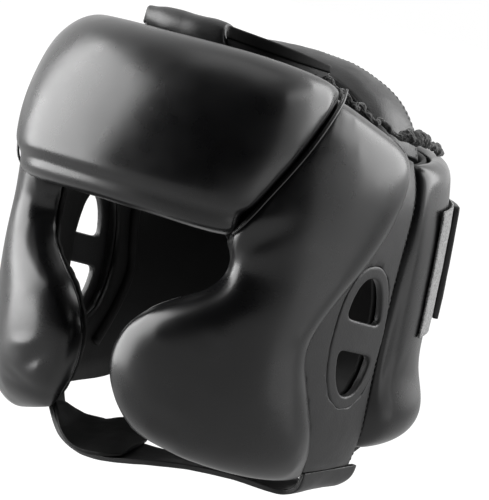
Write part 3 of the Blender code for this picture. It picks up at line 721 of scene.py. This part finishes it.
def pipingMiddle(node):
    bm = pieceCopy(node)
    places = sorted((vertex.co.copy() for vertex in bm.verts), key=lambda place: place.z)
    bm.free()
    ring = seamEdge["ring"]
    return [sum(places[k:k + ring], Vector()) / ring for k in range(0, len(places) - ring + 1, ring)]


for side, name in ((1, "left"), (-1, "right")):
    middle = pipingMiddle("seam_piping_" + name)
    path = []
    for point in smoothPath(middle, seamEdge["count"]):
        angle, height, _ = headPlace(point)
        outward = (headSkin(angle, height, 0.01) - headSkin(angle, height, 0.0)).normalized()
        path.append((point + outward * seamEdge["out"], outward))
    cordPiece("seam_edge_" + name, path, seamEdge["radius"], "smooth_leather")
print("seam edges laid")

# Edge of the face opening: the sewn line between pad and lining, as angle and height on the left side
faceEdge = [
    (0.0, -0.0845), (12.0, -0.0848), (22.0, -0.0862), (28.0, -0.0880), (31.2, -0.0945), (32.4, -0.0990),
    (31.5, -0.1095), (26.7, -0.1180), (17.5, -0.1260), (11.5, -0.1345), (7.5, -0.1460), (6.0, -0.1590),
    (8.5, -0.1760), (14.5, -0.1925),
]
faceSeam = {"radius": 0.00040, "offset": 0.0034, "lift": 0.0001, "below": 0.0004, "count": 260}
openingTree = surfaceOf(covers["forehead_pad"], covers["cheek_pad_left"], covers["cheek_pad_right"])
outline = [headSkin(angle, height - faceSeam["below"], faceSeam["offset"]) for angle, height in faceEdge]
mirroredOutline = [Vector((-point.x, point.y, point.z)) for point in outline[:0:-1]]
edgePath = laid(mirroredOutline + outline, openingTree, faceSeam["lift"], faceSeam["count"])
cordPiece("face_edge_seam", edgePath, faceSeam["radius"], "smooth_leather")
print("face edge laid")

# Cross band: three rows of stitches near its rear edge
bandRows = {"places": (0.0385, 0.0355, 0.0325), "turns": 62.0, "count": 120, "centre": -0.070, "reach": 0.3}
crossTree = surfaceOf(covers["crown_band_cross"])
for number, place in enumerate(bandRows["places"]):
    path = []
    for k in range(bandRows["count"]):
        turn = math.radians(bandRows["turns"] * (2 * k / (bandRows["count"] - 1) - 1))
        toward = Vector((math.sin(turn), 0, math.cos(turn)))
        centre = Vector((0, place, bandRows["centre"]))
        hit, normal, _, _ = crossTree.ray_cast(centre + toward * bandRows["reach"], -toward)
        if hit is not None:
            path.append((hit, normal))
    stitchPiece("cross_band_stitches_" + "abc"[number], path, "grained_leather")
print("cross band stitched")

# Side seam behind the ear panel, as height and angle, with a row of stitches before it
sideRow = {"before": 1.9, "offset": 0.0115, "lift": 0.00005, "count": 160}
rearSeam = [(-0.205, 103.0), (-0.165, 100.0), (-0.137, 98.5), (-0.114, 99.5), (-0.084, 101.0),
            (-0.061, 104.5), (-0.050, 107.5)]
for side, name in ((1, "left"), (-1, "right")):
    panelTree = surfaceOf(covers["ear_panel_" + name])
    points = [headSkin(side * (angle - sideRow["before"]), height, sideRow["offset"])
              for height, angle in rearSeam]
    row = laid(points, panelTree, sideRow["lift"], sideRow["count"])
    stitchPiece("side_stitches_" + name, row, "grained_leather")

# Collar behind the forehead pad, beside the front flap: a grained facing, and above it a dark strip of
# lining leather that is painted shade, standing where the hollow inside the crown lies in shadow
collar = {"base": -0.0183, "to": 60.0, "left": 14.0, "right": 30.0, "offset": 0.0016, "lean": 0.0006,
          "facingThick": 0.0014, "tapeThick": 0.0026, "lap": 0.0010}
# angle, top of the facing, top of the dark painted-shade strip
collarRows = [
    (14, 0.0005, 0.0058), (24, -0.0012, 0.0040), (34, -0.0032, 0.0020), (44, -0.0052, -0.0006),
    (52, -0.0066, -0.0028), (60, -0.0080, -0.0052),
]


def makeCollar(name, slotName, side, thick):
    bm = bmesh.new()
    bmesh.ops.create_grid(bm, x_segments=40, y_segments=5, size=1.0)
    start = collar["left"] if side > 0 else collar["right"]
    for vertex in bm.verts:
        angle = start + (collar["to"] - start) * (vertex.co.x + 1) / 2
        facingTop, shadeStripTop = (alongTable(collarRows, angle, column) for column in (1, 2))
        low, high = collar["base"], facingTop
        # The dark painted-shade strip starts a little below the facing's top and overlaps it
        if "tape" in name:
            low, high = facingTop - collar["lap"], shadeStripTop
        share = (vertex.co.y + 1) / 2
        place = headSkin(side * angle, collar["base"], collar["offset"])
        inward = -Vector((place.x, place.y, 0)).normalized()
        rise = low + (high - low) * share - collar["base"]
        vertex.co = place + Vector((0, 0, rise)) + inward * collar["lean"] * share
    strip = toPiece(bm, name, slotName)
    wall = strip.modifiers.new("wall", "SOLIDIFY")
    wall.thickness = thick
    wall.offset = 0.0
    return worn(rounded(settled(strip), 1))


for side, sideName in ((1, "left"), (-1, "right")):
    makeCollar("crown_facing_" + sideName, "grained_leather", side, collar["facingThick"])
    # The second strip is painted shade: a dark sheet put where the inside of the crown is in shadow
    makeCollar("crown_tape_" + sideName, "lining_leather", side, collar["tapeThick"])

# Padded ridge down the inside of each side, as angle and height
innerRidge = {"offset": 0.0006, "radius": 0.0030, "count": 60}
ridgeRows = [(106.0, -0.060), (103.0, -0.085), (102.4, -0.110), (104.0, -0.128), (105.5, -0.144),
             (101.6, -0.161), (95.8, -0.174), (90.0, -0.184)]
for side, name in ((1, "left"), (-1, "right")):
    points = [headSkin(side * angle, height, -innerRidge["offset"]) for angle, height in ridgeRows]
    path = [(point, Vector((0, 0, 1))) for point in smoothPath(points, innerRidge["count"])]
    cordPiece("inner_ridge_" + name, path, innerRidge["radius"], "lining_leather")
print("facing and ridges made")


def makeFloor():
    bm = bmesh.new()
    bmesh.ops.create_grid(bm, x_segments=1, y_segments=1, size=studio["floorSize"] / 2)
    bmesh.ops.translate(bm, verts=bm.verts, vec=(0, 0, cadBounds[0][2] - studio["floorDrop"]))
    mesh = bpy.data.meshes.new("floor")
    bm.to_mesh(mesh)
    bm.free()
    floor = bpy.data.objects.new("floor", mesh)
    scene.collection.objects.link(floor)
    material, nodes, links, shader = newMaterial("floorPaper", studio["floorColour"], 0.9)
    shader.inputs["Emission Color"].default_value = (1, 1, 1, 1)
    seen = nodes.new("ShaderNodeLightPath")
    glow = nodes.new("ShaderNodeMapRange")
    glow.inputs["To Min"].default_value = studio["floorBounce"]
    glow.inputs["To Max"].default_value = studio["floorGlow"]
    links.new(seen.outputs["Is Camera Ray"], glow.inputs["Value"])
    links.new(glow.outputs["Result"], shader.inputs["Emission Strength"])
    mesh.materials.append(material)


makeFloor()
bpy.context.view_layer.update()
